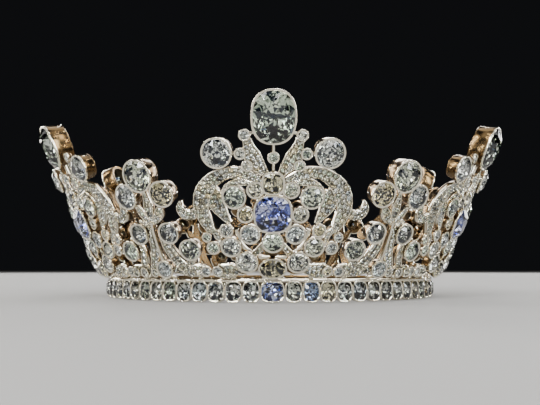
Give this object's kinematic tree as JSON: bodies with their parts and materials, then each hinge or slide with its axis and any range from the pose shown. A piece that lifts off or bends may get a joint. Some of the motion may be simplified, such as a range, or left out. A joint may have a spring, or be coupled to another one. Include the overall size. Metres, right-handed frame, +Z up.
{
  "type": "diadem",
  "caption": "Closed diadem: a band of cushion stones carries a pierced frieze that leans outward, of heart and trefoil motifs set with collets and large crest stones.",
  "frame": {"origin": "centre of the ring, on the surface that the band's lower edge stands on", "axes": "+Z up through the crown, -Y to the front heart, +X to the viewer's right"},
  "size_m": [0.231, 0.2516, 0.083],
  "materials": {
    "band_metal": "silver front with a gold back, polished and lightly worn",
    "frieze_metal": "silver front with a rose gold back, polished, lightly tarnished in the recesses",
    "diamonds": "old cut, transparent, faceted",
    "blue_stones": "violet blue cushion cut, transparent, faceted"
  },
  "bodies": {
    "root": {"band": "band_metal", "band_stones_right": "diamonds", "band_stones_left": "diamonds", "band_centre_stone": "blue_stones", "heart_1": "frieze_metal", "heart_2": "frieze_metal", "heart_3": "frieze_metal", "heart_4": "frieze_metal", "heart_5": "frieze_metal", "heart_6": "frieze_metal", "heart_stones_1": "diamonds", "heart_stones_2": "diamonds", "heart_stones_3": "diamonds", "heart_stones_4": "diamonds", "heart_stones_5": "diamonds", "heart_stones_6": "diamonds", "crest_stone_1": "diamonds", "crest_stone_2": "diamonds", "crest_stone_3": "diamonds", "crest_stone_4": "diamonds", "crest_stone_5": "diamonds", "crest_stone_6": "diamonds", "centre_stone_1": "blue_stones", "centre_stone_2": "blue_stones", "centre_stone_3": "blue_stones", "centre_stone_4": "blue_stones", "centre_stone_5": "blue_stones", "centre_stone_6": "blue_stones", "flank_stone_left_1": "diamonds", "flank_stone_left_2": "diamonds", "flank_stone_left_3": "diamonds", "flank_stone_left_4": "diamonds", "flank_stone_left_5": "diamonds", "flank_stone_left_6": "diamonds", "flank_stone_right_1": "diamonds", "flank_stone_right_2": "diamonds", "flank_stone_right_3": "diamonds", "flank_stone_right_4": "diamonds", "flank_stone_right_5": "diamonds", "flank_stone_right_6": "diamonds", "trefoil_1": "frieze_metal", "trefoil_2": "frieze_metal", "trefoil_3": "frieze_metal", "trefoil_4": "frieze_metal", "trefoil_5": "frieze_metal", "trefoil_6": "frieze_metal", "trefoil_stones_1": "diamonds", "trefoil_stones_2": "diamonds", "trefoil_stones_3": "diamonds", "trefoil_stones_4": "diamonds", "trefoil_stones_5": "diamonds", "trefoil_stones_6": "diamonds", "trefoil_top_stone_1": "diamonds", "trefoil_top_stone_2": "diamonds", "trefoil_top_stone_3": "diamonds", "trefoil_top_stone_4": "diamonds", "trefoil_top_stone_5": "diamonds", "trefoil_top_stone_6": "diamonds"}
  },
  "joints": []
}
